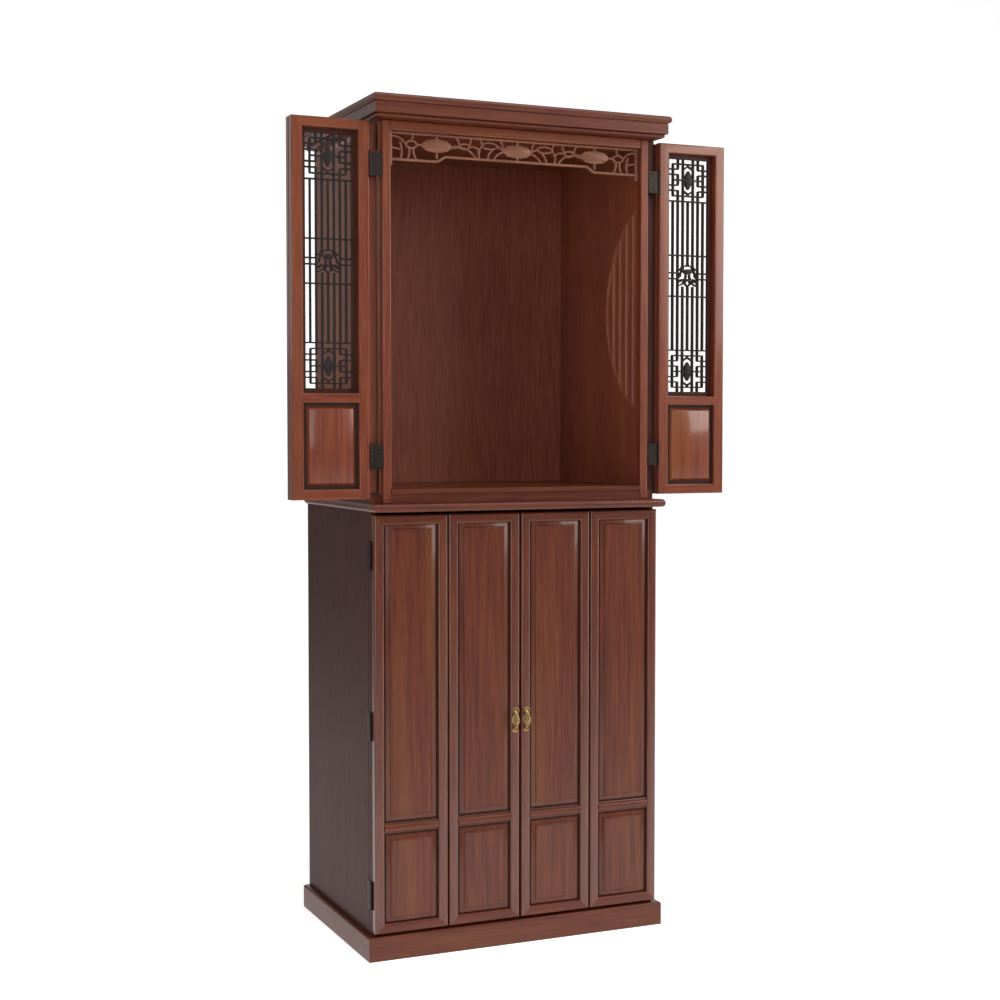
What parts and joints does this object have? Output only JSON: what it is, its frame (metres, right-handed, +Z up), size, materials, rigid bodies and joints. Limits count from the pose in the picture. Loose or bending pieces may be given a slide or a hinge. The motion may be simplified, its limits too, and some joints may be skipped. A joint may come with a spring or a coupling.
{
  "type": "household altar cabinet",
  "caption": "Tall wooden altar cabinet: an open niche above with folded lattice doors and a fretwork valance, a closed panelled cupboard below, cornice and plinth.",
  "frame": {"origin": "middle of the underside of the bounding box, as stored with the upper leaves folded open and the lower leaves closed", "axes": "+Z up, front of the cabinet towards -Y, +X to the right seen from the front"},
  "size_m": [1.1796, 0.582, 2.097],
  "materials": {
    "walnut": "satin lacquer, reddish brown",
    "walnut_light": "satin lacquer, reddish brown, a little lighter",
    "walnut_dark": "satin lacquer, dark brown",
    "fret_brown": "satin, light brown",
    "lattice_brown": "satin, near black brown",
    "steel": "satin",
    "brass": "antique"
  },
  "bodies": {
    "cabinet": {"plinth": "walnut", "lower_left_side": "walnut_dark", "lower_right_side": "walnut_dark", "lower_floor": "walnut_dark", "lower_back": "walnut_dark", "waist_board": "walnut", "base_board": "walnut", "niche_floor": "walnut", "niche_left_side": "walnut", "niche_right_side": "walnut", "niche_back": "walnut", "niche_ceiling": "walnut_dark", "left_stile": "walnut_light", "right_stile": "walnut_light", "right_post": "walnut", "header_rail": "walnut_light", "fretwork": "fret_brown", "cornice": "walnut", "cornice_top_panel": "walnut_dark", "left_upper_hinge_1": "steel", "left_upper_hinge_2": "steel", "right_upper_hinge_1": "steel", "right_upper_hinge_2": "steel", "left_hinge_1": "steel", "left_hinge_2": "steel", "left_hinge_3": "steel", "right_hinge_1": "steel", "right_hinge_2": "steel", "right_hinge_3": "steel"},
    "left_outer_leaf": {"left_outer_leaf_frame": "walnut", "left_outer_leaf_grille": "lattice_brown", "left_outer_leaf_panel": "walnut_light"},
    "left_inner_leaf": {"left_inner_leaf_frame": "walnut", "left_inner_leaf_grille": "lattice_brown", "left_inner_leaf_panel": "walnut_light", "meeting_strip": "walnut_light", "left_top_bolt": "steel", "left_bottom_bolt": "steel"},
    "right_outer_leaf": {"right_outer_leaf_frame": "walnut", "right_outer_leaf_grille": "lattice_brown", "right_outer_leaf_panel": "walnut_light"},
    "right_inner_leaf": {"right_inner_leaf_frame": "walnut", "right_inner_leaf_grille": "lattice_brown", "right_inner_leaf_panel": "walnut_light"},
    "lower_left_outer_leaf": {"lower_left_outer_leaf_frame": "walnut", "lower_left_outer_leaf_lower_panel": "walnut_light", "lower_left_outer_leaf_upper_panel": "walnut_light"},
    "lower_left_inner_leaf": {"lower_left_inner_leaf_frame": "walnut", "lower_left_inner_leaf_lower_panel": "walnut_light", "lower_left_inner_leaf_upper_panel": "walnut_light", "left_pull": "brass"},
    "lower_right_outer_leaf": {"lower_right_outer_leaf_frame": "walnut", "lower_right_outer_leaf_lower_panel": "walnut_light", "lower_right_outer_leaf_upper_panel": "walnut_light"},
    "lower_right_inner_leaf": {"lower_right_inner_leaf_frame": "walnut", "lower_right_inner_leaf_lower_panel": "walnut_light", "lower_right_inner_leaf_upper_panel": "walnut_light", "right_pull": "brass"}
  },
  "joints": [
    {"name": "left_pair_hinge", "type": "hinge", "parent": "cabinet", "child": "left_outer_leaf", "pos_m": [-0.3945, -0.24, 1.58], "axis": [0, 0, 1], "range_deg": [0, 180]},
    {"name": "left_fold", "type": "hinge", "parent": "left_outer_leaf", "child": "left_inner_leaf", "pos_m": [-0.5905, -0.215, 1.58], "axis": [0, 0, 1], "range_deg": [0, 180]},
    {"name": "right_pair_hinge", "type": "hinge", "parent": "cabinet", "child": "right_outer_leaf", "pos_m": [0.3945, -0.24, 1.58], "axis": [0, 0, -1], "range_deg": [0, 180]},
    {"name": "right_fold", "type": "hinge", "parent": "right_outer_leaf", "child": "right_inner_leaf", "pos_m": [0.5905, -0.215, 1.58], "axis": [0, 0, -1], "range_deg": [0, 180]},
    {"name": "lower_left_hinge", "type": "hinge", "parent": "cabinet", "child": "lower_left_outer_leaf", "pos_m": [-0.392, -0.222, 0.575], "axis": [0, 0, -1], "range_deg": [0, 175]},
    {"name": "lower_left_fold", "type": "hinge", "parent": "lower_left_outer_leaf", "child": "lower_left_inner_leaf", "pos_m": [-0.19525, -0.246, 0.575], "axis": [0, 0, -1], "range_deg": [0, 165]},
    {"name": "lower_right_hinge", "type": "hinge", "parent": "cabinet", "child": "lower_right_outer_leaf", "pos_m": [0.392, -0.222, 0.575], "axis": [0, 0, 1], "range_deg": [0, 175]},
    {"name": "lower_right_fold", "type": "hinge", "parent": "lower_right_outer_leaf", "child": "lower_right_inner_leaf", "pos_m": [0.19525, -0.246, 0.575], "axis": [0, 0, 1], "range_deg": [0, 165]}
  ]
}
